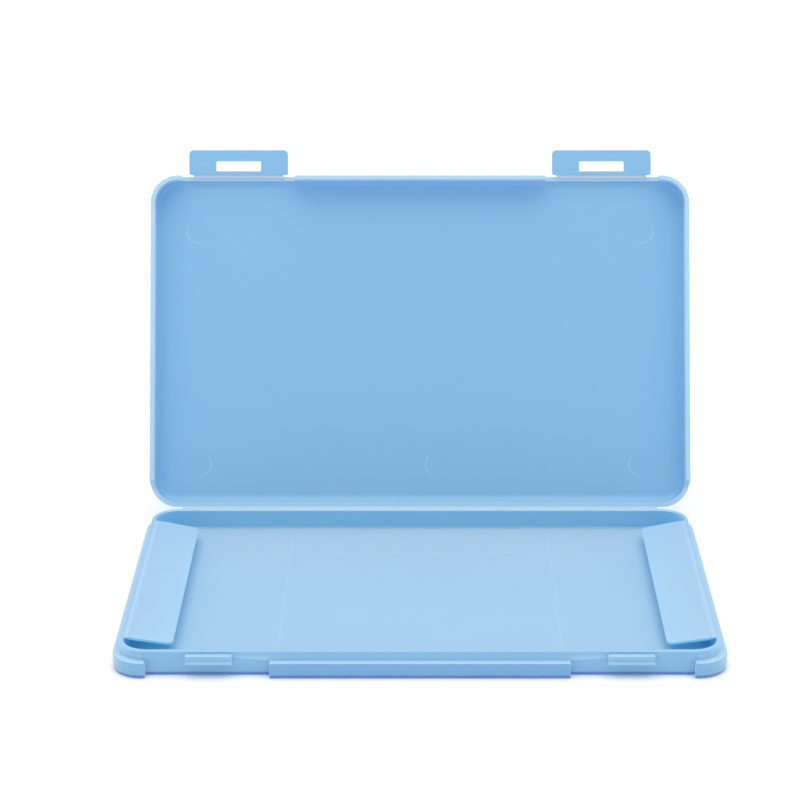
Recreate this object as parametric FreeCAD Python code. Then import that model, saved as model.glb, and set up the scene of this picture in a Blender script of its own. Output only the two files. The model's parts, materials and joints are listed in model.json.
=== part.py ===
import FreeCAD, Part
import os
from FreeCAD import Vector

os.makedirs("parts", exist_ok=True)

# A one-piece moulded snap case, open. X is across, Y runs to the back, Z is up.
# The origin is the middle of the tray's underside. All sizes are in millimetres.

# the footprint, shared by the tray's ledge and the lid
WIDTH = 190.0
DEPTH = 117.0
CORNER_R = 9.6
HALF_W = WIDTH / 2
FRONT = -DEPTH / 2
BACK = DEPTH / 2

# the tray: a floor, an upright rim, and a ledge outside the rim that the lid's skirt stands on
FLOOR_T = 1.3
RIM_TOP = 8.0
LEDGE_TOP = 5.1
RIM_HALF_W = HALF_W - 1.7
RIM_FRONT = FRONT + 2.5
RIM_R = 9.4
SIDE_WALL_T = 1.4
FRONT_WALL_T = 1.8
BACK_WALL_T = 1.7
WELL_R = RIM_R - SIDE_WALL_T
LEDGE_BACK = BACK - 7.2
BOTTOM_R = 1.3

# the two latch stations on the front
CATCH_X = 64.8
CATCH_W = 14.2
CATCH_TOP = 7.1
CATCH_LOW = 4.45
CATCH_OUT = 2.3
CATCH_STEP = 0.25
CATCH_LEAD = 0.5
CATCH_LIP = 1.0
CATCH_EDGE = 0.3
RECESS_IN = 46.2
RECESS_OUT = 84.4

# the lid, drawn closed and then turned open about the fold at the back
LID_TOP = 13.0
LID_T = 1.3
LID_FRONT = FRONT + 0.1
SKIRT_T = 1.5
SKIRT_LOW = LEDGE_TOP + 0.1
LID_EDGE_R = 1.2
LID_BACK_LOW = RIM_TOP + 0.3
LID_OPEN_DEG = 112.0
HINGE_Y = BACK + 0.4
HINGE_Z = RIM_TOP + 0.05
HINGE_R = 0.4
HINGE_HALF_W = 83.5

# the latch tabs, drawn in line with the lid
LATCH_X = 64.3
LATCH_W = 35.0
LATCH_T = 1.3
LATCH_Y = LID_FRONT + 0.05
LATCH_Z = 9.7
LATCH_ROOT = 0.65
LATCH_TIP = 9.45
LATCH_R = 1.5
LATCH_SKIN = 0.3
LATCH_HINGE_R = 0.28
LATCH_HINGE_W = 31.8
WINDOW_W = 15.8
WINDOW_NEAR = 1.95
WINDOW_FAR = 5.55
NOTCH_W = 40.0
NOTCH_TOP = LATCH_Z + 0.4

# the side flaps, hinged on the rim's inner edge
FLAP_AXIS_X = RIM_HALF_W - SIDE_WALL_T - 0.4
FLAP_AXIS_Z = 7.6
FLAP_HINGE_R = 0.4
FLAP_T = 0.9
FLAP_ROOT = 0.6
FLAP_TIP = 14.8
FLAP_FRONT = -45.7
FLAP_BACK = 47.8
FLAP_TAPER = 0.9
FLAP_R = 2.0
FLAP_DROP_DEG = 10.0

SIDES = {"left": -1, "right": 1}
FAR = 300.0


def box(x0, x1, y0, y1, z0, z1):
    """A box from its lowest to its highest corner."""
    return Part.makeBox(x1 - x0, y1 - y0, z1 - z0, Vector(x0, y0, z0))


def rounded_prism(half_w, y0, y1, r, z0, z1):
    """An upright block with four round corners."""
    block = box(-half_w, half_w, y0, y1, z0, z1)
    upright = [e for e in block.Edges if abs(e.tangentAt(e.FirstParameter).z) > 0.99]
    return block.makeFillet(r, upright)


def rounded_at(shape, z, r):
    """The shape with its flat edges at one height rounded."""
    level = [e for e in shape.Edges if max(abs(e.BoundBox.ZMin - z), abs(e.BoundBox.ZMax - z)) < 1e-4]
    return shape.makeFillet(r, level)


def mirrored(shape, side):
    """The shape as drawn for the right side, or its mirror image for the left."""
    if side > 0:
        return shape.copy()
    return shape.mirror(Vector(0, 0, 0), Vector(1, 0, 0))


def write(name, shape):
    """One STEP file for one node."""
    clean = shape.removeSplitter()
    clean.exportStep("parts/" + name + ".step")


def opened(shape):
    """Turns a piece of the closed lid to where it stands when open."""
    turned = shape.copy()
    turned.rotate(Vector(0, HINGE_Y, HINGE_Z), Vector(-1, 0, 0), LID_OPEN_DEG)
    return turned


def rod(x0, x1, y, z, r):
    """A round rod along X."""
    return Part.makeCylinder(r, x1 - x0, Vector(x0, y, z), Vector(1, 0, 0))


def tray_moulding():
    """The whole tray, before it is parted into its floor, walls and ledges."""
    ledge = rounded_at(rounded_prism(HALF_W, FRONT, BACK, CORNER_R, 0, LEDGE_TOP), 0, BOTTOM_R)
    ledge = ledge.common(box(-FAR, FAR, -FAR, LEDGE_BACK, -1, FAR))
    for side in SIDES.values():
        recess = box(RECESS_IN, RECESS_OUT, FRONT - 1, RIM_FRONT, -1, FAR)
        ledge = ledge.cut(mirrored(recess, side))
    rim = rounded_at(rounded_prism(RIM_HALF_W, RIM_FRONT, BACK, RIM_R, 0, RIM_TOP), 0, BOTTOM_R)
    return ledge.fuse(rim).cut(tray_well())


def tray_well():
    """The space inside the tray's walls, above its floor."""
    half = RIM_HALF_W - SIDE_WALL_T
    return rounded_prism(half, RIM_FRONT + FRONT_WALL_T, BACK - BACK_WALL_T, WELL_R, FLOOR_T, FAR)


def tray_nodes():
    """The tray parted into its floor, four walls, four corners and the ledge in five lengths."""
    whole = tray_moulding()
    half = RIM_HALF_W - SIDE_WALL_T
    inner = rounded_prism(half, RIM_FRONT + FRONT_WALL_T, BACK - BACK_WALL_T, WELL_R, -1, FAR)
    outer = rounded_prism(RIM_HALF_W, RIM_FRONT, BACK, RIM_R, -1, FAR)
    write("tray_floor", whole.common(inner))
    wall = whole.common(outer).cut(inner)
    ledge = whole.cut(outer)
    corner_x = RIM_HALF_W - RIM_R
    corner_front = RIM_FRONT + RIM_R
    corner_back = BACK - RIM_R
    write("tray_front_wall", wall.common(box(-corner_x, corner_x, -FAR, corner_front, -1, FAR)))
    write("tray_back_wall", wall.common(box(-corner_x, corner_x, corner_back, FAR, -1, FAR)))
    write("front_ledge", ledge.common(box(-RECESS_IN, RECESS_IN, -FAR, 0, -1, FAR)))
    for name, side in SIDES.items():
        regions = {
            "tray_%s_wall": (wall, box(corner_x, FAR, corner_front, corner_back, -1, FAR)),
            "tray_front_%s_corner": (wall, box(corner_x, FAR, -FAR, corner_front, -1, FAR)),
            "tray_back_%s_corner": (wall, box(corner_x, FAR, corner_back, FAR, -1, FAR)),
            "%s_side_ledge": (ledge, box(corner_x, FAR, FRONT + CORNER_R, FAR, -1, FAR)),
            "%s_corner_ledge": (ledge, box(RECESS_IN + 1, FAR, -FAR, FRONT + CORNER_R, -1, FAR)),
        }
        for node, (source, region) in regions.items():
            write(node % name, source.common(mirrored(region, side)))
        write(name + "_catch", mirrored(catch(), side))


def catch():
    """A hooked nose on the front wall: a lead-in on top, a flat underside that holds the tab."""
    lip = CATCH_OUT
    chin = CATCH_OUT - CATCH_STEP
    profile = [
        (0, CATCH_TOP + 0.2),
        (chin - CATCH_EDGE, CATCH_TOP - 0.1),
        (chin, CATCH_TOP - CATCH_LEAD),
        (chin, CATCH_LOW + CATCH_LIP + CATCH_EDGE),
        (lip, CATCH_LOW + CATCH_LIP),
        (lip, CATCH_LOW + CATCH_EDGE),
        (lip - CATCH_EDGE, CATCH_LOW),
        (0, CATCH_LOW),
    ]
    points = [Vector(CATCH_X - CATCH_W / 2, RIM_FRONT - out, z) for out, z in profile]
    face = Part.Face(Part.makePolygon(points + points[:1]))
    return face.extrude(Vector(CATCH_W, 0, 0))


def lid_moulding():
    """The whole lid, closed: a panel with a skirt that drops to the ledge, short at the back."""
    shell = rounded_prism(HALF_W, LID_FRONT, BACK, CORNER_R, SKIRT_LOW, LID_TOP)
    shell = rounded_at(shell, LID_TOP, LID_EDGE_R)
    hollow = rounded_prism(
        HALF_W - SKIRT_T, LID_FRONT + SKIRT_T, BACK - SKIRT_T, CORNER_R - SKIRT_T, -1, LID_TOP - LID_T
    )
    shell = shell.cut(hollow)
    shell = shell.cut(box(-FAR, FAR, LEDGE_BACK, FAR, -1, LID_BACK_LOW))
    for side in SIDES.values():
        notch = box(LATCH_X - NOTCH_W / 2, LATCH_X + NOTCH_W / 2, -FAR, LID_FRONT + SKIRT_T, -1, NOTCH_TOP)
        shell = shell.cut(mirrored(notch, side))
    return shell


def lid_nodes():
    """The lid parted into its panel, skirt lengths, corners and the two strips that carry the latches."""
    whole = lid_moulding()
    skirt_top = LID_TOP - LID_T
    write("lid_panel", opened(whole.common(box(-FAR, FAR, -FAR, FAR, skirt_top, FAR))))
    skirt = whole.common(box(-FAR, FAR, -FAR, FAR, -1, skirt_top))
    corner_x = HALF_W - CORNER_R
    corner_front = LID_FRONT + CORNER_R
    corner_back = BACK - CORNER_R
    notch_in = LATCH_X - NOTCH_W / 2
    notch_out = LATCH_X + NOTCH_W / 2
    centre = box(-notch_in, notch_in, -FAR, corner_front, -1, FAR)
    write("lid_front_skirt", opened(skirt.common(centre)))
    back = box(-corner_x, corner_x, corner_back, FAR, -1, FAR)
    write("lid_back_wall", opened(skirt.common(back)))
    for name, side in SIDES.items():
        regions = {
            "%s_latch_strip": box(notch_in, notch_out, -FAR, LID_FRONT + SKIRT_T + 1, -1, FAR),
            "lid_%s_skirt": box(corner_x, FAR, corner_front, corner_back, -1, FAR),
            "lid_front_%s_corner": box(notch_out, FAR, -FAR, corner_front, -1, FAR),
            "lid_back_%s_corner": box(corner_x, FAR, corner_back, FAR, -1, FAR),
        }
        for node, region in regions.items():
            write(node % name, opened(skirt.common(mirrored(region, side))))


def latch_tab():
    """A tab in line with the lid, with a window that drops over the catch."""
    y_tip = LATCH_Y - LATCH_TIP
    y_root = LATCH_Y - LATCH_ROOT
    top = LATCH_Z + LATCH_SKIN
    x0 = LATCH_X - LATCH_W / 2
    x1 = LATCH_X + LATCH_W / 2
    tab = box(x0, x1, y_tip, y_root, top - LATCH_T, top)
    upright = [e for e in tab.Edges if abs(e.tangentAt(e.FirstParameter).z) > 0.99]
    tab = tab.makeFillet(LATCH_R, [e for e in upright if e.BoundBox.YMin < y_tip + 0.01])
    x0 = LATCH_X - WINDOW_W / 2
    x1 = LATCH_X + WINDOW_W / 2
    window = box(x0, x1, LATCH_Y - WINDOW_FAR, LATCH_Y - WINDOW_NEAR, -1, FAR)
    return tab.cut(window)


def latches():
    """Both latch tabs and the round fold lines that carry them."""
    fold = rod(
        LATCH_X - LATCH_HINGE_W / 2, LATCH_X + LATCH_HINGE_W / 2, LATCH_Y, LATCH_Z, LATCH_HINGE_R
    )
    for name, side in SIDES.items():
        write(name + "_latch_tab", opened(mirrored(latch_tab(), side)))
        write(name + "_latch_fold", opened(mirrored(fold, side)))


def flap():
    """A thin tapered flap on the right side, sloping down from the rim to its free edge."""
    x_root = FLAP_AXIS_X - FLAP_ROOT
    x_tip = FLAP_AXIS_X - FLAP_TIP
    low = FLAP_AXIS_Z - FLAP_T / 2
    points = [
        Vector(x_root, FLAP_FRONT, low),
        Vector(x_root, FLAP_BACK, low),
        Vector(x_tip, FLAP_BACK - FLAP_TAPER, low),
        Vector(x_tip, FLAP_FRONT + FLAP_TAPER, low),
    ]
    plate = Part.Face(Part.makePolygon(points + points[:1])).extrude(Vector(0, 0, FLAP_T))
    upright = [e for e in plate.Edges if abs(e.tangentAt(e.FirstParameter).z) > 0.99]
    plate = plate.makeFillet(FLAP_R, [e for e in upright if e.BoundBox.XMin < x_tip + 0.01])
    plate.rotate(Vector(FLAP_AXIS_X, 0, FLAP_AXIS_Z), Vector(0, -1, 0), FLAP_DROP_DEG)
    return plate


def flaps():
    """Both side flaps and the round fold lines along the rim."""
    span = FLAP_BACK - FLAP_FRONT
    start = Vector(FLAP_AXIS_X, FLAP_FRONT, FLAP_AXIS_Z)
    fold = Part.makeCylinder(FLAP_HINGE_R, span, start, Vector(0, 1, 0))
    for name, side in SIDES.items():
        write(name + "_flap", mirrored(flap(), side))
        write(name + "_flap_fold", mirrored(fold, side))


tray_nodes()
lid_nodes()
latches()
flaps()
write("lid_fold", rod(-HINGE_HALF_W, HINGE_HALF_W, HINGE_Y, HINGE_Z, HINGE_R))
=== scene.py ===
import json
import math

import bpy
from mathutils import Matrix, Vector


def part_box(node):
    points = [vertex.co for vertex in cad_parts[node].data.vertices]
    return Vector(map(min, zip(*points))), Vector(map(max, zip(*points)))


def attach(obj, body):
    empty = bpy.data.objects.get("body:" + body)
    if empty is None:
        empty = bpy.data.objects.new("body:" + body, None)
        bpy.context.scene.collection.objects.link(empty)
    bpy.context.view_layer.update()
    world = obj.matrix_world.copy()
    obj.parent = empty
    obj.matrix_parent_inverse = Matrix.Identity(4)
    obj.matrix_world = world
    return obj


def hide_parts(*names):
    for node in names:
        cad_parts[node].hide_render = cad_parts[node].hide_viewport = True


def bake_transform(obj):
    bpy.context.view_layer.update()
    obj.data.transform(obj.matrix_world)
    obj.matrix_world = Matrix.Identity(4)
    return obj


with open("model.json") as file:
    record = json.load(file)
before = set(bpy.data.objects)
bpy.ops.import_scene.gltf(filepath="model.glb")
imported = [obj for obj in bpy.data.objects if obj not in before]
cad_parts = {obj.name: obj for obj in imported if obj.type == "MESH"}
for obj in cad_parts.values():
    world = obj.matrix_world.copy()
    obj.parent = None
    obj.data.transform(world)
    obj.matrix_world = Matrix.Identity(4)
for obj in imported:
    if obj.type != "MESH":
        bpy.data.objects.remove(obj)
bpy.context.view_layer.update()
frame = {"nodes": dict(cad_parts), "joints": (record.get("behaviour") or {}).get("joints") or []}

# A one-piece moulded snap case in light blue polypropylene, open and empty.
# Lengths are in metres. Sizes come from the frame, or are given here in millimetres times MM.

MM = 0.001


# ---------------------------------------------------------------- sizes read from the frame

def joint(name):
    """A joint of the frame, by name."""
    return next(j for j in frame["joints"] if j["name"] == name)


HINGE = Vector(joint("lid_hinge")["pos_m"])
OPEN_ANGLE = math.radians(-joint("lid_hinge")["range_deg"][0])
OPEN_TURN = Matrix.Rotation(OPEN_ANGLE, 4, Vector(joint("lid_hinge")["axis"]))
TO_OPEN = Matrix.Translation(HINGE) @ OPEN_TURN @ Matrix.Translation(-HINGE)
TO_CLOSED = TO_OPEN.inverted()


def closed_box(node):
    """Lowest and highest corner of a node of the lid, with the lid turned shut."""
    corners = [TO_CLOSED @ v.co for v in frame["nodes"][node].data.vertices]
    low = Vector([min(c[k] for c in corners) for k in range(3)])
    high = Vector([max(c[k] for c in corners) for k in range(3)])
    return low, high


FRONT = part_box("front_ledge")[0].y
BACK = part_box("tray_back_wall")[1].y
HALF_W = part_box("tray_front_right_corner")[1].x + 1.7 * MM
LEDGE_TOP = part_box("front_ledge")[1].z
LEDGE_BACK = 51.3 * MM
RECESS_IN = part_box("front_ledge")[1].x
RECESS_OUT = 84.4 * MM
RIM_HALF_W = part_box("tray_right_wall")[1].x
RIM_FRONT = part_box("tray_front_wall")[0].y
RIM_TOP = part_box("tray_front_wall")[1].z
WELL_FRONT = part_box("tray_front_wall")[1].y
WELL_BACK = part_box("tray_back_wall")[0].y
SIDE_WALL_T = 1.4 * MM
FLOOR_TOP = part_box("tray_floor")[1].z
CORNER_R = 9.6 * MM
RIM_R = 9.4 * MM
FOOT_R = 1.3 * MM
RIM_FOOT = 0.02 * MM

LID_LOW, LID_HIGH = closed_box("lid_panel")
SKIRT_LOW = closed_box("lid_front_skirt")[0].z
LID_INNER = LID_HIGH.z - 1.3 * MM
LID_BACK_LOW = closed_box("lid_back_wall")[0].z
SKIRT_T = 1.5 * MM
STRIP_LOW, STRIP_HIGH = closed_box("right_latch_strip")
TAB_LOW, TAB_HIGH = closed_box("right_latch_tab")
TAB_MID_X = (TAB_LOW.x + TAB_HIGH.x) / 2
LATCH_AXIS = TO_CLOSED @ Vector(joint("right_latch_hinge")["pos_m"])
FLAP_AXIS = Vector(joint("right_flap_hinge")["pos_m"])
FLAP_DROP = math.radians(10)
FLAP_REACH = 14.8 * MM
WEB_T = 0.36 * MM
FAR = 0.3
STEP_DEPTH = 0.06 * MM
SLIVER = 0.05 * MM


# ---------------------------------------------------------------- modelling by hand

def only(piece):
    """Selects one piece and nothing else."""
    bpy.ops.object.select_all(action="DESELECT")
    piece.select_set(True)
    bpy.context.view_layer.objects.active = piece


def settle(piece):
    """Puts a piece's place, turn and size into its mesh."""
    only(piece)
    bpy.ops.object.transform_apply(location=True, rotation=True, scale=True)
    return piece


def block(name, low, high):
    """A plain block between two corners, to be shaped further."""
    low, high = Vector(low), Vector(high)
    bpy.ops.object.select_all(action="DESELECT")
    bpy.ops.mesh.primitive_cube_add(size=1, location=(low + high) / 2)
    piece = bpy.context.active_object
    piece.name = name
    piece.data.name = name
    piece.scale = high - low
    return settle(piece)


def disc(centre, radius, half_height):
    """A short round plug, used to sink a mark."""
    bpy.ops.object.select_all(action="DESELECT")
    bpy.ops.mesh.primitive_cylinder_add(
        vertices=48, radius=radius, depth=2 * half_height, location=centre
    )
    return settle(bpy.context.active_object)


def pick(piece, kind, test):
    """Goes into edit mode with only the parts that pass a test selected."""
    only(piece)
    bpy.ops.object.mode_set(mode="EDIT")
    bpy.ops.mesh.select_mode(type=kind)
    bpy.ops.mesh.select_all(action="DESELECT")
    bpy.ops.object.mode_set(mode="OBJECT")
    mesh = piece.data
    if kind == "FACE":
        for face in mesh.polygons:
            face.select = bool(test(face.center, face.normal))
    elif kind == "VERT":
        for point in mesh.vertices:
            point.select = bool(test(point.co))
    else:
        beside = {}
        for face in mesh.polygons:
            for key in face.edge_keys:
                beside.setdefault(key, []).append(face)
        for edge in mesh.edges:
            a, b = (mesh.vertices[i].co for i in edge.vertices)
            edge.select = bool(test(a, b, beside.get(edge.key, [])))
    bpy.ops.object.mode_set(mode="EDIT")


def done():
    """Leaves edit mode."""
    bpy.ops.object.mode_set(mode="OBJECT")


def round_edges(piece, width, segments, test, clamp=True):
    """Rounds the edges that pass a test. Clamping narrows the round where an edge is short."""
    pick(piece, "EDGE", test)
    bpy.ops.mesh.bevel(
        offset=width,
        offset_type="OFFSET",
        segments=segments,
        profile=0.5,
        affect="EDGES",
        clamp_overlap=clamp,
    )
    done()


def near(value, target):
    """True where a length is at a given place."""
    return abs(value - target) < 0.02 * MM


def upright(a, b, faces):
    """Edges that stand straight up."""
    return abs(a.z - b.z) > 0.99 * (b - a).length


def level_at(z):
    """A test for the edges that lie flat at one height."""
    return lambda a, b, faces: near(a.z, z) and near(b.z, z)


def crease(faces, degrees=40):
    """True where two faces meet at more than an angle."""
    return len(faces) == 2 and faces[0].normal.angle(faces[1].normal, 0) > math.radians(degrees)


def crease_at(z):
    """A test for the creases that lie flat at one height."""
    return lambda a, b, faces: level_at(z)(a, b, faces) and crease(faces)


def outside_corner(a, b, faces):
    """True on an edge that sticks out, not in."""
    if not crease(faces):
        return False
    middle = (a + b) / 2
    one, two = faces
    return one.normal.dot(two.center - middle) < 0 and two.normal.dot(one.center - middle) < 0


def boolean(piece, tool, operation):
    """Cuts a tool out of a piece, or adds it to the piece, and removes the tool."""
    only(piece)
    change = piece.modifiers.new("change", "BOOLEAN")
    change.operation = operation
    change.solver = "EXACT"
    change.object = tool
    bpy.ops.object.modifier_apply(modifier=change.name)
    only(tool)
    bpy.ops.object.delete()
    pick(piece, "VERT", lambda co: True)
    bpy.ops.mesh.remove_doubles(threshold=0.002 * MM)
    bpy.ops.mesh.dissolve_limited(angle_limit=math.radians(0.2))
    done()


def cut(piece, tool):
    """Takes a tool's shape out of a piece."""
    boolean(piece, tool, "DIFFERENCE")


def add(piece, tool):
    """Welds a tool's shape on to a piece."""
    boolean(piece, tool, "UNION")


def mirror_copy(piece, name):
    """The left-hand twin of a right-hand piece, with its own mesh."""
    only(piece)
    bpy.ops.object.duplicate()
    twin = bpy.context.active_object
    twin.name = name
    twin.data.name = name
    twin.scale.x = -1
    settle(twin)
    pick(twin, "FACE", lambda centre, normal: True)
    bpy.ops.mesh.normals_make_consistent(inside=False)
    done()
    return twin


def turned(piece, matrix):
    """A piece moved by a matrix, with the place put into its mesh."""
    piece.matrix_world = matrix @ piece.matrix_world
    return settle(piece)


def paint(piece, name, rule):
    """Paints a value from 0 to 1 on a piece's points, by a rule on their place."""
    layer = piece.data.attributes.get(name) or piece.data.attributes.new(name, "FLOAT", "POINT")
    for value, point in zip(layer.data, piece.data.vertices):
        value.value = rule(point.co)


def smooth(piece, degrees=35):
    """Smooth curves with crisp creases, and flat shading across the large faces."""
    only(piece)
    bpy.ops.object.shade_smooth_by_angle(angle=math.radians(degrees))
    even = piece.modifiers.new("even", "WEIGHTED_NORMAL")
    even.keep_sharp = True
    bpy.ops.object.modifier_apply(modifier=even.name)


# ---------------------------------------------------------------- finishes

class Value:
    """A number or colour that runs through the nodes, worked with +, - and *."""

    def __init__(self, finish, socket):
        self.finish = finish
        self.socket = socket

    def _math(self, operation, first, second):
        return self.finish.make("ShaderNodeMath", {"operation": operation}, {0: first, 1: second})

    def __add__(self, other):
        return self._math("ADD", self, other)

    def __radd__(self, other):
        return self._math("ADD", other, self)

    def __sub__(self, other):
        return self._math("SUBTRACT", self, other)

    def __rsub__(self, other):
        return self._math("SUBTRACT", other, self)

    def __mul__(self, other):
        return self._math("MULTIPLY", self, other)

    def __rmul__(self, other):
        return self._math("MULTIPLY", other, self)


class Finish:
    """A material made of nodes."""

    def __init__(self, name):
        self.material = bpy.data.materials.new(name)
        self.material.use_nodes = True
        self.tree = self.material.node_tree
        self.tree.nodes.clear()
        self.output = self.tree.nodes.new("ShaderNodeOutputMaterial")
        self.place = self.make("ShaderNodeTexCoord", {}, {}, "Object")

    def make(self, kind, settings, inputs, out=0):
        """Adds a node: its settings first, then the values or links of its sockets."""
        node = self.tree.nodes.new(kind)
        for key, value in settings.items():
            setattr(node, key, value)
        for key, value in inputs.items():
            if isinstance(value, Value):
                self.tree.links.new(value.socket, node.inputs[key])
            else:
                node.inputs[key].default_value = value
        return Value(self, node.outputs[out])

    def stretched(self, x, y, z):
        """Object coordinates drawn out along an axis."""
        return self.make("ShaderNodeMapping", {}, {"Vector": self.place, "Scale": (x, y, z)})

    def cloud(self, scale, detail=2.0, at=None):
        """Soft noise from 0 to 1."""
        inputs = {"Vector": at or self.place, "Scale": scale, "Detail": detail, "Roughness": 0.5}
        return self.make("ShaderNodeTexNoise", {}, inputs)

    def axis(self, index):
        """One of the three object coordinates."""
        return self.make("ShaderNodeSeparateXYZ", {}, {0: self.place}, index)

    def within(self, value, centre, reach):
        """1 where a value lies within reach of a centre, and 0 elsewhere."""
        return self.make("ShaderNodeMath", {"operation": "COMPARE"}, {0: value, 1: centre, 2: reach})

    def absolute(self, value):
        """A value without its sign."""
        return self.make("ShaderNodeMath", {"operation": "ABSOLUTE"}, {0: value})

    def painted(self, name):
        """A value painted on the piece."""
        return self.make("ShaderNodeAttribute", {"attribute_name": name}, {}, "Fac")

    def blend_colours(self, amount, first, second):
        """A mix of two colours."""
        inputs = {0: amount, 6: first, 7: second}
        return self.make("ShaderNodeMix", {"data_type": "RGBA"}, inputs, 2)

    def bumps(self, height, strength, distance):
        """A surface normal with fine relief on it."""
        inputs = {"Strength": strength, "Distance": distance, "Height": height}
        return self.make("ShaderNodeBump", {}, inputs, "Normal")

    def finished(self, shader):
        """The material, with its shader joined to the output."""
        self.tree.links.new(shader.socket, self.output.inputs[0])
        return self.material

    def plastic(self, colour, roughness, bump, clear, glow):
        """The shader itself: milky polypropylene that also lets some light through."""
        face = self.make("ShaderNodeBsdfPrincipled", {}, {
            "Base Color": colour,
            "Roughness": roughness,
            "Normal": bump,
            "IOR": 1.49,
            "Specular IOR Level": 0.45,
            "Sheen Weight": 1.0,
            "Sheen Roughness": 0.5,
            "Subsurface Weight": 0.3,
            "Subsurface Radius": (0.8, 1.0, 1.2),
            "Subsurface Scale": 0.8 * MM,
        })
        through = self.make("ShaderNodeBsdfTranslucent", {}, {"Color": glow})
        return self.finished(self.make("ShaderNodeMixShader", {}, {0: clear, 1: face, 2: through}))


# painted shade mixes the colour toward this deeper blue
PAINTED_SHADE_BLUE = (0.07, 0.30, 0.72, 1)
# painted light inside the walls mixes the colour toward this livelier blue
PAINTED_INNER_LIGHT_BLUE = (0.36, 0.77, 1.0, 1)
# painted light mixes the colour toward this paler blue; the floor's joint lines use it too
PAINTED_LIGHT_BLUE = (0.62, 0.89, 1.0, 1)
CASE_BLUE = (0.36, 0.66, 0.84, 1)
CASE_BLUE_DARKER = (0.34, 0.64, 0.82, 1)
CASE_GLOW = (0.15, 0.62, 1.0, 1)


def floor_lines_and_painted_light(f):
    """The tray floor's faint joint lines, and painted light that makes the floor paler toward the back, by
    the lid.
    """
    x, y, z = f.axis(0), f.axis(1), f.axis(2)
    long_pair = f.within(f.absolute(x), 44.5 * MM, 0.2 * MM) * f.within(y, 4.8 * MM, 43.4 * MM)
    cross = f.within(y, 35.2 * MM, 0.35 * MM) * f.within(x, 0, 72 * MM)
    lines = 0.32 * long_pair + 0.16 * cross
    # painted light: the floor is painted paler toward the back
    rise = {0: y, 1: 0, 2: 55 * MM, 3: 0, 4: 0.3}
    painted_light_toward_back = f.make("ShaderNodeMapRange", {"interpolation_type": "SMOOTHSTEP"}, rise)
    return (lines + painted_light_toward_back) * f.within(z, FLOOR_TOP, 0.15 * MM)


def case_plastic(name, light, dark, clear, glow, lines_and_painted_light=False):
    """Light blue polypropylene with a satin face, faint flow marks and a fine moulded grain, with painted
    light and painted shade mixed into its colour.
    """
    f = Finish(name)
    # painted light, as a value from 0 to 1
    painted_light = f.painted("painted_light")
    # painted shade, as a value from 0 to 1
    painted_shade = f.painted("painted_shade")
    drift = f.cloud(22.0, 3.0)
    flow = f.cloud(30.0, 2.0, at=f.stretched(0.35, 1.0, 1.0))
    grain = f.cloud(2600.0, 2.0)
    dimple = f.cloud(420.0, 2.0)
    shade = 0.5 * drift + 0.5 * flow
    body = f.blend_colours(shade, dark, light)
    # painted shade darkens the colour toward the deeper blue
    body = f.blend_colours(painted_shade, body, PAINTED_SHADE_BLUE)
    # painted light inside the well's walls makes the colour livelier
    body = f.blend_colours(f.painted("painted_inner_light"), body, PAINTED_INNER_LIGHT_BLUE)
    # the tray adds its floor's joint lines and the painted light toward the back
    if lines_and_painted_light:
        painted_light = painted_light + floor_lines_and_painted_light(f)
    # painted light makes the colour paler
    colour = f.blend_colours(painted_light, body, PAINTED_LIGHT_BLUE)
    roughness = 0.34 + 0.10 * flow + 0.05 * dimple
    bump = f.bumps(0.6 * grain + 0.4 * dimple, 0.10, 0.06 * MM)
    return f.plastic(colour, roughness, bump, clear, glow)


def fold_plastic():
    """The same plastic where it is thinned and has whitened from bending, in fine streaks."""
    f = Finish("fold_plastic")
    crease = f.painted("crease")
    streak = f.cloud(900.0, 3.0, at=f.stretched(0.15, 0.15, 1.0))
    whitening = crease * (0.7 + 0.6 * streak)
    colour = f.blend_colours(whitening, (0.48, 0.76, 0.94, 1), (0.95, 1.0, 1.0, 1))
    roughness = 0.38 + 0.14 * streak
    return f.plastic(colour, roughness, f.bumps(streak, 0.25, 0.05 * MM), 0.3, (0.2, 0.65, 1.0, 1))


def floor_finish():
    """A pale matt studio floor."""
    f = Finish("studio_floor")
    mottle = f.cloud(3.0, 4.0)
    colour = f.blend_colours(mottle, (0.93, 0.93, 0.93, 1), (0.95, 0.95, 0.95, 1))
    inputs = {"Base Color": colour, "Roughness": 0.9, "Specular IOR Level": 0.1}
    return f.finished(f.make("ShaderNodeBsdfPrincipled", {}, inputs))


CASE = case_plastic("case_plastic", CASE_BLUE, CASE_BLUE_DARKER, 0.3, CASE_GLOW)
THIN = case_plastic(
    "thin_plastic", (0.81, 1.0, 1.0, 1), (0.77, 0.97, 0.98, 1), 0.55, (0.2, 0.75, 1.0, 1)
)
TRAY = case_plastic("tray_plastic", CASE_BLUE, CASE_BLUE_DARKER, 0.3, CASE_GLOW, lines_and_painted_light=True)
FOLD = fold_plastic()


def finish_piece(piece, material, body, nodes):
    """Gives a rigid piece its finish and hangs it on its body in place of the nodes it stands for."""
    piece.data.materials.clear()
    piece.data.materials.append(material)
    smooth(piece)
    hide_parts(*nodes)
    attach(piece, body)


# ---------------------------------------------------------------- the tray

def mould_block(name, half_w, front, back, low, high, radius):
    """A block with four round upright corners."""
    piece = block(name, (-half_w, front, low), (half_w, back, high))
    round_edges(piece, radius, 12, upright)
    return piece


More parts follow.
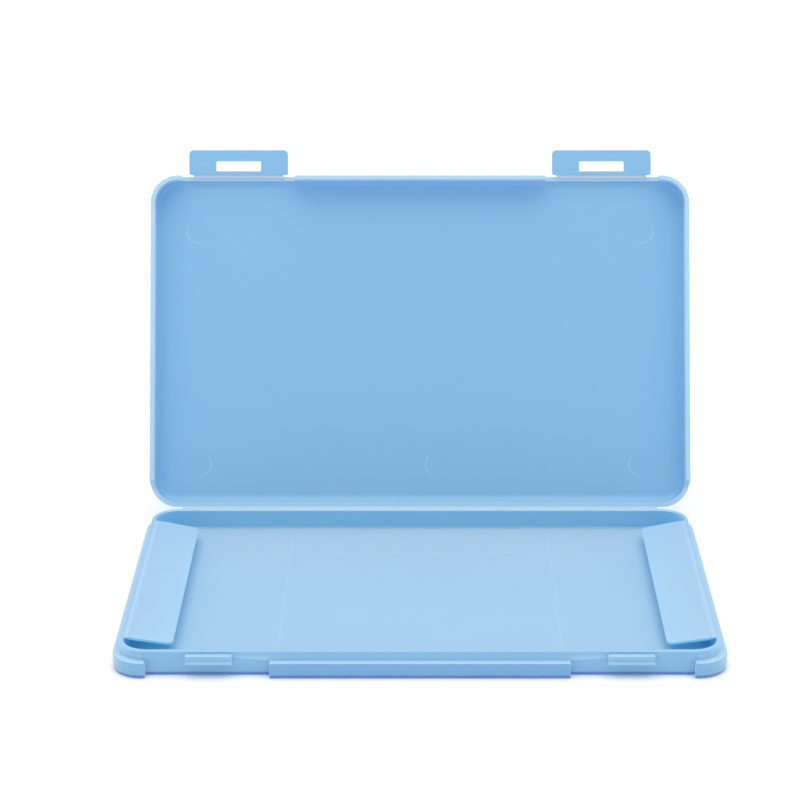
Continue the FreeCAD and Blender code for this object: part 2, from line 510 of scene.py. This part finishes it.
def tray_shell():
    """The tray: a footed ledge with two latch recesses, an upright rim, and the well sunk into it."""
    tray = mould_block("tray_shell", HALF_W, FRONT, BACK, 0, LEDGE_TOP, CORNER_R)
    round_edges(tray, FOOT_R, 4, level_at(0))
    cut(tray, block("tool", (-FAR, LEDGE_BACK, -FAR), (FAR, FAR, FAR)))
    for side in (-1, 1):
        ends = sorted((side * RECESS_IN, side * RECESS_OUT))
        cut(tray, block("tool", (ends[0], -FAR, -FAR), (ends[1], RIM_FRONT + 1 * MM, FAR)))
    rim = mould_block("rim", RIM_HALF_W, RIM_FRONT, BACK, RIM_FOOT, RIM_TOP, RIM_R)
    round_edges(rim, FOOT_R, 4, level_at(RIM_FOOT))
    add(tray, rim)
    sink_well(tray)
    round_edges(tray, 0.3 * MM, 2, outside_of_ledge, clamp=False)
    round_edges(tray, 0.35 * MM, 3, crease_at(RIM_TOP))
    mark_floor(tray)
    # painted light on the tray's rim and ledge tops, its floor and its pin marks
    paint(tray, "painted_light", tray_painted_light)
    # painted shade on the tray's foot and front band
    paint(tray, "painted_shade", tray_painted_shade)
    # painted light on the walls round the well
    paint(tray, "painted_inner_light", tray_painted_inner_light)
    return tray


def outside_of_ledge(a, b, faces):
    """The ledge's top outer edge and the upright ends of its bands."""
    middle = (a + b) / 2
    return outside_corner(a, b, faces) and 0.5 * MM < middle.z < LEDGE_TOP + 0.1 * MM


def on_rim_top(centre, normal):
    """Faces that look up at the height of the rim."""
    return near(centre.z, RIM_TOP) and normal.z > 0.9


def sink_well(tray):
    """Insets the top face to the wall's thickness and pushes it down to the floor."""
    pick(tray, "FACE", on_rim_top)
    bpy.ops.mesh.inset(thickness=SIDE_WALL_T, depth=0)
    done()
    front_step = WELL_FRONT - (RIM_FRONT + SIDE_WALL_T)
    back_step = WELL_BACK - (BACK - SIDE_WALL_T)
    rim_inner = RIM_HALF_W - SIDE_WALL_T

    def on_well_outline(co):
        inside_x = abs(co.x) < rim_inner + SLIVER
        inside_y = RIM_FRONT + 0.5 * MM < co.y < BACK - 0.5 * MM
        corner = Vector((max(abs(co.x) - (RIM_HALF_W - RIM_R), 0), 0))
        corner.y = max(co.y - (BACK - RIM_R), (RIM_FRONT + RIM_R) - co.y, 0)
        inside_corner = corner.length < RIM_R - 0.5 * SIDE_WALL_T
        return near(co.z, RIM_TOP) and inside_x and inside_y and inside_corner

    pick(tray, "VERT", lambda co: on_well_outline(co) and co.y < 0)
    bpy.ops.transform.translate(value=(0, front_step, 0))
    done()
    pick(tray, "VERT", lambda co: on_well_outline(co) and co.y > 0)
    bpy.ops.transform.translate(value=(0, back_step, 0))
    done()
    in_middle = 10 * MM
    pick(tray, "FACE", lambda centre, normal: on_rim_top(centre, normal) and centre.xy.length < in_middle)
    bpy.ops.mesh.extrude_region_move(TRANSFORM_OT_translate={"value": (0, 0, FLOOR_TOP - RIM_TOP)})
    done()
    round_edges(tray, 0.9 * MM, 4, crease_at(FLOOR_TOP))


FLOOR_MARK_Y = 40.8 * MM


def mark_floor(tray):
    """The faint rings that the mould leaves on the floor."""
    for x in (-20.5 * MM, 20.5 * MM):
        sink_mark(tray, (x, FLOOR_MARK_Y, FLOOR_TOP), 4.35 * MM, 0.5 * MM)


def tray_painted_shade(co):
    """Painted shade: the tray's foot is painted the deepest blue, and its front band is painted deeper
    than its walls.
    """
    if co.z < 0.9 * MM and not on_inside_face(co):
        return 1.0
    if co.y > RIM_FRONT - SLIVER or co.z > LEDGE_TOP - 0.2 * MM:
        return 0.0
    if abs(co.x) < RECESS_IN + 0.5 * MM:
        return 0.3
    return 0.1 if abs(co.x) > RECESS_OUT - 0.5 * MM else 0.0


def tray_painted_light(co):
    """Painted light: the tops of the tray's thin rim and ledge, its floor and the rims of its pin marks
    are painted paler than its faces.
    """
    on_rim = co.z > RIM_TOP - SLIVER
    on_ledge = near(co.z, LEDGE_TOP)
    on_mark = near(co.z, FLOOR_TOP - STEP_DEPTH) and on_inside_face(co)
    if on_rim:
        return 1.0 if co.y > WELL_BACK - 1 * MM else 0.12
    if on_ledge:
        return 0.75
    if on_mark:
        return 0.6 if co.y > FLOOR_MARK_Y else 0.3
    return 0.27 if in_well(co) and co.z < FLOOR_TOP + 0.01 * MM else 0.0


def in_well(co):
    """True within the outline of the well."""
    inside_x = abs(co.x) < RIM_HALF_W - SIDE_WALL_T + SLIVER
    return inside_x and WELL_FRONT - SLIVER < co.y < WELL_BACK + SLIVER


def tray_painted_inner_light(co):
    """Painted light: the walls round the well are painted a livelier blue, standing in for the light that
    passes through and bounces inside them.
    """
    inside_x = abs(co.x) < RIM_HALF_W - 0.6 * SIDE_WALL_T
    inside_y = WELL_FRONT - 0.5 * MM < co.y < WELL_BACK + 0.5 * MM
    on_wall = FLOOR_TOP + 0.1 * MM < co.z < RIM_TOP - SLIVER
    return 0.9 if inside_x and inside_y and on_wall else 0.0


def catch(name):
    """A hooked nose: a lead-in on top, a lip along its foot."""
    low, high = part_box(name)
    wall = RIM_FRONT + 0.3 * MM
    lip_top = low.z + 1.05 * MM
    nose = block(name + "_nose", (low.x, low.y + 0.3 * MM, low.z), (high.x, wall, high.z - 0.1 * MM))
    add(nose, block("tool", low, (high.x, wall, lip_top)))

    def clear_of_wall(a, b, faces):
        return outside_corner(a, b, faces) and max(a.y, b.y) < wall - 0.1 * MM

    round_edges(nose, 0.22 * MM, 3, clear_of_wall)
    # painted highlight along the nose's lip and top
    paint(nose, "painted_light", lambda co: 0.45 if co.z < lip_top or co.z > high.z - 0.15 * MM else 0.1)
    return nose


# ---------------------------------------------------------------- the lid

def lid_shell():
    """The lid, made shut and then turned open: a panel with a skirt, notched over the latches."""
    lid = mould_block("lid_shell", HALF_W, LID_LOW.y, BACK, SKIRT_LOW, LID_HIGH.z, CORNER_R)
    round_edges(lid, 1.2 * MM, 4, level_at(LID_HIGH.z))
    pick(lid, "FACE", lambda centre, normal: near(centre.z, SKIRT_LOW) and normal.z < -0.9)
    bpy.ops.mesh.inset(thickness=SKIRT_T, depth=0)
    bpy.ops.mesh.extrude_region_move(TRANSFORM_OT_translate={"value": (0, 0, LID_INNER - SKIRT_LOW)})
    done()
    cove_edges(lid)
    cut(lid, back_clearance())
    for side in (-1, 1):
        ends = sorted((side * STRIP_LOW.x, side * STRIP_HIGH.x))
        cut(lid, block("tool", (ends[0], -FAR, -FAR), (ends[1], STRIP_HIGH.y, STRIP_LOW.z)))
    round_edges(lid, 0.25 * MM, 3, lambda a, b, faces: outside_corner(a, b, faces) and on_outside(a, b))
    round_edges(lid, 0.1 * MM, 2, outside_corner)
    for x, y, _ in LID_MARKS:
        sink_mark(lid, (x, y, LID_INNER), 4.38 * MM, 0.4 * MM)
    # painted light on the lid's thin edges, and painted highlights on its pin marks
    paint(lid, "painted_light", lid_painted_light)
    # painted shade on the lid's inner walls
    paint(lid, "painted_shade", lid_painted_shade)
    return turned(lid, TO_OPEN)


def back_clearance():
    """The space over the tray's rim at the back. Its front slopes, so that the side skirts end softly."""
    foot = SKIRT_LOW - 1 * MM
    space = block("tool", (-FAR, LEDGE_BACK, foot), (FAR, FAR, LID_BACK_LOW))
    pick(space, "VERT", lambda co: near(co.y, LEDGE_BACK) and near(co.z, foot))
    slope = 0.75
    bpy.ops.transform.translate(value=(0, slope * (foot - LID_BACK_LOW), 0))
    done()
    return space


# each mark's place on the panel, and the side on which its rim gets a painted highlight
FAR_MARKS_Y = HINGE.y - 98.2 * MM
NEAR_MARKS_Y = HINGE.y - 15.4 * MM
LID_MARKS = [
    (-78.3 * MM, FAR_MARKS_Y, Vector((-0.8, 0.6))),
    (78.3 * MM, FAR_MARKS_Y, Vector((0.8, 0.6))),
    (-78.3 * MM, NEAR_MARKS_Y, Vector((1, 0.2))),
    (78.3 * MM, NEAR_MARKS_Y, Vector((-1, 0.2))),
    (6.3 * MM, NEAR_MARKS_Y, Vector((-1, 0))),
]


def painted_mark_highlight(co):
    """A painted highlight: it lies on one side of a mark's rim and fades away on the other."""
    x, y, highlight_side = min(LID_MARKS, key=lambda mark: (co.xy - Vector(mark[:2])).length)
    toward = (co.xy - Vector((x, y))).normalized().dot(highlight_side)
    return 0.5 * max(toward + 0.35, 0)


def on_outside(a, b):
    """True on the outermost outline of the case, where nothing lies further out."""
    middle = (a + b) / 2
    x, y = abs(middle.x), abs(middle.y)
    corner = Vector((max(x - (HALF_W - CORNER_R), 0), max(y - (BACK - CORNER_R), 0)))
    return corner.length > CORNER_R - 0.3 * MM


def sink_mark(piece, centre, radius, width):
    """Sinks a round pin mark with a shallow step round it, wide enough to catch the light."""
    cut(piece, disc(centre, radius + width / 2, STEP_DEPTH))
    cut(piece, disc(centre, radius - width / 2, 2 * STEP_DEPTH))


def cove_edges(lid):
    """Coves the inside edge: small at the front and sides, growing to a wide cove at the back."""
    wide, small = 3.2 * MM, 1.7 * MM
    turn_from = BACK - CORNER_R
    lid.data.attributes.new("bevel_weight_edge", "FLOAT", "EDGE")
    pick(lid, "EDGE", crease_at(LID_INNER))
    done()
    weights = lid.data.attributes["bevel_weight_edge"]
    for edge in lid.data.edges:
        if edge.select:
            middle = sum(lid.data.vertices[i].co.y for i in edge.vertices) / 2
            along = min(max((middle - turn_from) / (CORNER_R - SKIRT_T), 0), 1)
            weights.data[edge.index].value = (small + (wide - small) * along) / wide
    cove = lid.modifiers.new("cove", "BEVEL")
    cove.limit_method = "WEIGHT"
    cove.width = wide
    cove.segments = 6
    bpy.ops.object.modifier_apply(modifier=cove.name)


def lid_painted_light(co):
    """Painted light: the lid's thin edges are painted paler than its panel, standing in for light that
    comes in from both sides, and its pin marks get a painted highlight.
    """
    on_skirt_edge = co.z < SKIRT_LOW + SLIVER
    on_back_edge = co.y > LEDGE_BACK - 0.5 * MM and co.z < LID_BACK_LOW + SLIVER
    on_strip_edge = co.y < STRIP_HIGH.y + SLIVER and near(co.z, STRIP_LOW.z)
    on_mark = near(co.z, LID_INNER + STEP_DEPTH) and on_inside_face(co)
    if on_skirt_edge or on_strip_edge:
        return 1.0
    if on_back_edge:
        return 0.9 if abs(co.x) > 83 * MM else 0.3
    return painted_mark_highlight(co) if on_mark else 0.0


def on_inside_face(co):
    """True well within the outline, on the panel or the floor."""
    return abs(co.x) < HALF_W - 6 * MM and abs(co.y) < BACK - 6 * MM


def lid_painted_shade(co):
    """Painted shade: the lid's inner walls are painted a deeper blue, which fades out round the cove."""
    rise = (LID_INNER - co.z) / (1.7 * MM)
    inside = abs(co.x) < HALF_W - 0.6 * SKIRT_T and abs(co.y) < BACK - 0.6 * SKIRT_T
    under_edge = co.z > SKIRT_LOW + SLIVER
    if not (inside and under_edge and co.y < BACK - 4 * MM):
        return 0.0
    most = 0.6 if co.y < LID_LOW.y + 4 * MM else 0.42
    return most * min(max(rise, 0), 1)


def latch_tab():
    """The right-hand tab, made in line with the shut lid: a plate with a window and two pin marks."""
    tab = block("right_latch", TAB_LOW, TAB_HIGH)
    tip = TAB_LOW.y
    round_edges(tab, 1.5 * MM, 6, lambda a, b, faces: upright(a, b, faces) and near(a.y, tip))
    round_edges(tab, 0.8 * MM, 4, lambda a, b, faces: upright(a, b, faces) and near(a.y, TAB_HIGH.y))
    half_window = 7.9 * MM
    near_edge = LATCH_AXIS.y - 1.95 * MM
    far_edge = LATCH_AXIS.y - 5.55 * MM
    left, right = TAB_MID_X - half_window, TAB_MID_X + half_window
    window = block("tool", (left, far_edge, -FAR), (right, near_edge, FAR))
    round_edges(window, 0.3 * MM, 3, upright)
    cut(tab, window)
    round_edges(tab, 0.2 * MM, 3, outside_corner)
    for x in (TAB_MID_X - 12.3 * MM, TAB_MID_X + 12.3 * MM):
        sink_mark(tab, (x, LATCH_AXIS.y - 6.2 * MM, TAB_LOW.z), 1.9 * MM, 0.3 * MM)
    # painted highlight on the rims of the tab's pin marks
    paint(tab, "painted_light", lambda co: 0.3 if near(co.z, TAB_LOW.z + STEP_DEPTH) else 0.0)
    return turned(tab, TO_OPEN)


# ---------------------------------------------------------------- the side flaps

def flap():
    """The right-hand flap: a thin tapered plate that slopes down from the rim."""
    root = FLAP_AXIS.x - 0.6 * MM
    tip = FLAP_AXIS.x - FLAP_REACH
    half_t = 0.45 * MM
    under, top = FLAP_AXIS.z - half_t, FLAP_AXIS.z + half_t
    low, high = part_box("right_flap")
    plate = block("right_flap_plate", (tip, low.y, under), (root, high.y, top))
    for y, step in ((low.y, 0.9 * MM), (high.y, -0.9 * MM)):
        pick(plate, "VERT", lambda co: near(co.x, tip) and near(co.y, y))
        bpy.ops.transform.translate(value=(0, step, 0))
        done()
    round_edges(plate, 2 * MM, 6, lambda a, b, faces: upright(a, b, faces) and near(a.x, tip))
    round_edges(plate, 0.18 * MM, 3, outside_corner)
    drop = Matrix.Rotation(FLAP_DROP, 4, Vector((0, -1, 0)))
    return turned(plate, Matrix.Translation(FLAP_AXIS) @ drop @ Matrix.Translation(-FLAP_AXIS))


# ---------------------------------------------------------------- the folds

def web(name, path, half_length):
    """A thin flexible strip along X, drawn edge by edge along a path of (y, z) points."""
    start = Vector((0, *path[0]))
    first = Vector((0, *path[1])) - start
    bpy.ops.object.select_all(action="DESELECT")
    bpy.ops.mesh.primitive_plane_add(size=1, location=start + first / 2)
    strip = bpy.context.active_object
    strip.name = name
    strip.data.name = name
    strip.scale = (2 * half_length, first.length, 1)
    strip.rotation_euler.x = math.atan2(first.z, first.y)
    settle(strip)
    for here, there in zip(path[1:], path[2:]):
        reached = Vector(here)
        same_place = 0.01 * MM
        pick(strip, "EDGE", lambda a, b, faces: max((p.yz - reached).length for p in (a, b)) < same_place)
        step = (0, *(Vector(there) - reached))
        bpy.ops.mesh.extrude_region_move(TRANSFORM_OT_translate={"value": step})
        done()
    only(strip)
    skin = strip.modifiers.new("skin", "SOLIDIFY")
    skin.thickness = WEB_T
    skin.offset = 0
    bpy.ops.object.modifier_apply(modifier=skin.name)
    return strip


def finish_web(strip, body_b, start, end, node):
    """Gives a fold its finish, whitens its middle line and hides the node it stands for."""
    middle = (start + end) / 2
    on_flap = "flap" in node
    across = Vector((1, 0, 1)) if on_flap else Vector((0, 1, 1))
    most = 0.15 if on_flap else 0.45 if node == "lid_fold" else 1.0

    def whitened(co):
        away = ((co - middle) * across).length / (0.4 * MM)
        return most * min(max(1.6 - away, 0), 1)

    paint(strip, "crease", whitened)
    strip.data.materials.clear()
    strip.data.materials.append(FOLD)
    smooth(strip, 60)
    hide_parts(node)
    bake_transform(strip)


def lid_web():
    """The fold along the back, from the tray's rim to the lid's back wall."""
    half = (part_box("lid_fold")[1].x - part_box("lid_fold")[0].x) / 2
    rim = HINGE + Vector((0, -0.7, -0.28)) * MM
    edge = HINGE + Vector((0, -0.3, -0.1)) * MM
    outer = HINGE + Vector((0, 0.3, 0.2)) * MM
    wall = HINGE + Vector((0, 0.52, 0.56)) * MM
    bend = HINGE + Vector((0, 0.02, 0.03)) * MM
    path = [tuple(p.yz) for p in (rim, edge, bend, outer, wall)]
    strip = web("lid_fold_web", path, half)
    finish_web(strip, "lid", edge, outer, "lid_fold")


def latch_web(name, side):
    """The fold that carries a tab, from the strip over its notch to the tab's root."""
    y, z = LATCH_AXIS.yz
    half = (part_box("right_latch_fold")[1].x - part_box("right_latch_fold")[0].x) / 2
    path = [(y + 0.75 * MM, z + 0.6 * MM), (y + 0.45 * MM, z + 0.3 * MM), (y, z + 0.12 * MM)]
    path += [(y - 0.45 * MM, z + 0.02 * MM), (y - 1.0 * MM, z)]
    strip = web(name + "_latch_web", path, half)
    turned(strip, TO_OPEN @ Matrix.Translation((side * LATCH_AXIS.x, 0, 0)))
    start = TO_OPEN @ Vector((side * LATCH_AXIS.x, y + 0.35 * MM, z + 0.2 * MM))
    end = TO_OPEN @ Vector((side * LATCH_AXIS.x, y - 0.5 * MM, z))
    finish_web(strip, name + "_latch", start, end, name + "_latch_fold")


def flap_web(name, side):
    """The fold along the rim's inner edge that carries a flap."""
    low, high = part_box("right_flap_fold")
    in_mm = [(0.8, 0.15), (0.3, 0.12), (0, 0.06), (-0.4, -0.05), (-1.1, -0.19)]
    path = [(y * MM, z * MM) for y, z in in_mm]
    strip = web(name + "_flap_web", path, (high.y - low.y) / 2)
    middle = Vector((side * FLAP_AXIS.x, (low.y + high.y) / 2, FLAP_AXIS.z))
    quarter = Matrix.Rotation(-side * math.pi / 2, 4, "Z")
    turned(strip, Matrix.Translation(middle) @ quarter)
    start = middle + Vector((side * 0.35, 0, 0.1)) * MM
    end = middle + Vector((-side * 0.5, 0, -0.05)) * MM
    finish_web(strip, name + "_flap", start, end, name + "_flap_fold")


# ---------------------------------------------------------------- the stage

def camera():
    """A long lens, level across, looking down a little on the case."""
    sight = bpy.data.cameras.new("camera")
    eye = bpy.data.objects.new("camera", sight)
    bpy.context.scene.collection.objects.link(eye)
    sight.lens = 105.57
    sight.shift_x = -0.025
    eye.location = (0, -0.7055, 0.3238)
    eye.rotation_euler = (math.radians(90 - 19.81), 0, 0)
    bpy.context.scene.camera = eye


def soft_light(name, place, aim, size, power):
    """A square soft box pointed at a place."""
    lamp = bpy.data.lights.new(name, "AREA")
    lamp.size = size
    lamp.energy = power
    box = bpy.data.objects.new(name, lamp)
    bpy.context.scene.collection.objects.link(box)
    box.location = place
    box.rotation_euler = (Vector(aim) - Vector(place)).to_track_quat("-Z", "Y").to_euler()


def studio():
    """A wide pale floor under a soft white dome, with a large soft box overhead."""
    bpy.ops.object.select_all(action="DESELECT")
    bpy.ops.mesh.primitive_plane_add(size=14, location=(0, 0, -0.05 * MM))
    ground = bpy.context.active_object
    ground.name = "studio_floor"
    ground.data.materials.append(floor_finish())
    world = bpy.data.worlds.new("dome")
    world.use_nodes = True
    dome = world.node_tree.nodes["Background"]
    dome.inputs["Color"].default_value = (1, 1, 1, 1)
    dome.inputs["Strength"].default_value = 0.68
    bpy.context.scene.world = world
    soft_light("overhead", (0, 0.5, 3.0), (0, 0.5, 0), 4.0, 90)
    bpy.context.scene.view_settings.view_transform = "Standard"


# ---------------------------------------------------------------- putting it together

camera()
studio()

TRAY_NODES = [
    "tray_floor", "tray_front_wall", "tray_back_wall", "tray_left_wall", "tray_right_wall",
    "tray_front_left_corner", "tray_front_right_corner", "tray_back_left_corner", "tray_back_right_corner",
    "front_ledge", "left_corner_ledge", "right_corner_ledge", "left_side_ledge", "right_side_ledge",
]
LID_NODES = [
    "lid_panel", "lid_front_skirt", "lid_back_wall", "lid_left_skirt", "lid_right_skirt",
    "lid_front_left_corner", "lid_front_right_corner", "lid_back_left_corner", "lid_back_right_corner",
    "left_latch_strip", "right_latch_strip",
]

finish_piece(tray_shell(), TRAY, "tray", TRAY_NODES)
finish_piece(lid_shell(), CASE, "lid", LID_NODES)

right_tab = latch_tab()
right_plate = flap()
pieces_by_side = {
    "right": (1, right_tab, right_plate),
    "left": (-1, mirror_copy(right_tab, "left_latch"), mirror_copy(right_plate, "left_flap_plate")),
}
for name, (side, tab, plate) in pieces_by_side.items():
    finish_piece(tab, CASE, name + "_latch", [name + "_latch_tab"])
    finish_piece(plate, THIN, name + "_flap", [name + "_flap"])
    finish_piece(catch(name + "_catch"), CASE, "tray", [name + "_catch"])
    latch_web(name, side)
    flap_web(name, side)
lid_web()
